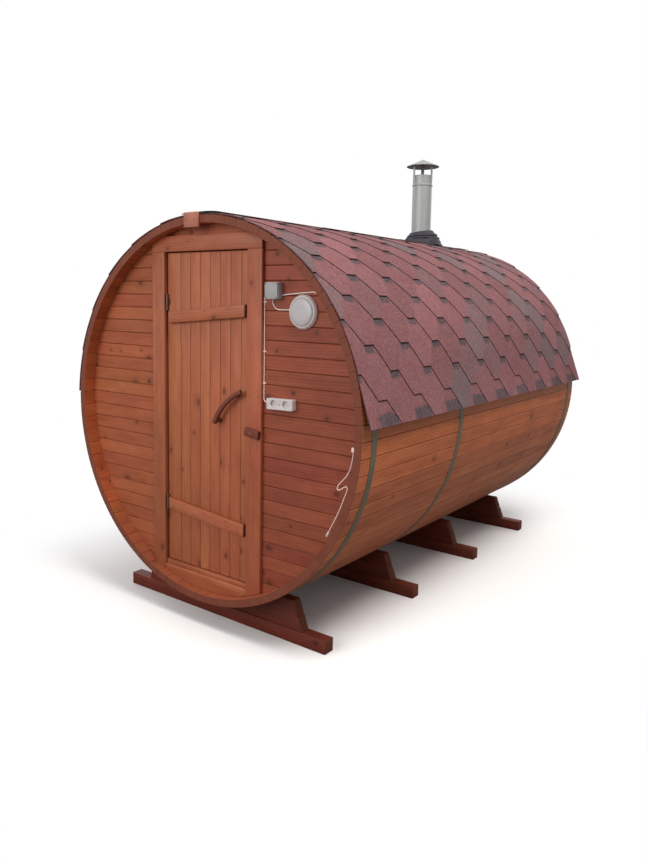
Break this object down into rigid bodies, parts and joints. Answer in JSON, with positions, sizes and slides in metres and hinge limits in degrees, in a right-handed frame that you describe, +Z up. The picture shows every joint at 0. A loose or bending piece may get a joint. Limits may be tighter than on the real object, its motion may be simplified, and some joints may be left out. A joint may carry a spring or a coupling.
{
  "type": "barrel sauna",
  "caption": "Horizontal stave barrel sauna on cradles, with steel hoops, shingled roof skin, recessed end walls, a ledged plank door with a turn button, and a flue.",
  "frame": {"origin": "on the ground, under the middle of the barrel", "axes": "+Z up, the door faces -Y, +Y along the barrel to the back, +X to the right of someone facing the door"},
  "size_m": [2.1529, 3.016, 2.9007],
  "materials": {
    "stained_wood": "red-brown stain, satin",
    "stave_wood": "red-brown stain, satin",
    "door_wood": "red-brown stain, satin",
    "cradle_wood": "dark stain, weathered",
    "bare_wood": "planed and bare",
    "galvanised_steel": "galvanised",
    "flashing_rubber": "matte",
    "roof_shingle": "mineral granules on bitumen",
    "grey_plastic": "moulded",
    "white_plastic": "moulded",
    "cable_sheath": "smooth sheath",
    "hinge_steel": "dark, worn"
  },
  "bodies": {
    "sauna": {"casing_left": "stained_wood", "casing_right": "stained_wood", "door_header": "stained_wood", "sill_board": "stained_wood", "threshold_strip": "stained_wood", "front_wall_left": "stained_wood", "front_wall_right": "stained_wood", "front_wall_top": "stained_wood", "front_wall_sill": "stained_wood", "back_wall": "stained_wood", "ridge_plate_front": "stained_wood", "ridge_plate_back": "stained_wood", "staves_01": "stave_wood", "staves_02": "stave_wood", "staves_03": "stave_wood", "staves_04": "stave_wood", "staves_05": "stave_wood", "staves_06": "stave_wood", "staves_07": "stave_wood", "staves_08": "stave_wood", "staves_09": "stave_wood", "staves_10": "stave_wood", "cradle_beams": "cradle_wood", "cradle_saddles": "cradle_wood", "floor_boards": "bare_wood", "floor_bearers": "bare_wood", "hoops": "galvanised_steel", "flue_pipe": "galvanised_steel", "flue_cap": "galvanised_steel", "flue_flashing": "flashing_rubber", "roof_skin": "roof_shingle", "eave_right": "roof_shingle", "eave_left": "roof_shingle", "junction_box": "grey_plastic", "wall_light": "white_plastic", "socket_box": "white_plastic", "lead_clip": "white_plastic", "lead_connector": "white_plastic", "surface_cables": "cable_sheath", "lead_cord": "cable_sheath", "hinge_jamb_halves": "hinge_steel"},
    "door": {"door_leaf": "door_wood", "door_ledger_upper": "door_wood", "door_ledger_lower": "door_wood", "handle_bar": "door_wood", "handle_feet": "door_wood", "hinge_door_halves": "hinge_steel"},
    "turn_button": {"turn_button": "door_wood"}
  },
  "joints": [
    {"name": "door_swing", "type": "hinge", "parent": "sauna", "child": "door", "pos_m": [-0.32, -1.424, 1.186], "axis": [0, 0, -1], "range_deg": [0, 105]},
    {"name": "button_turn", "type": "hinge", "parent": "sauna", "child": "turn_button", "pos_m": [0.34, -1.45, 1.114], "axis": [0, 1, 0], "range_deg": [0, 172]}
  ]
}
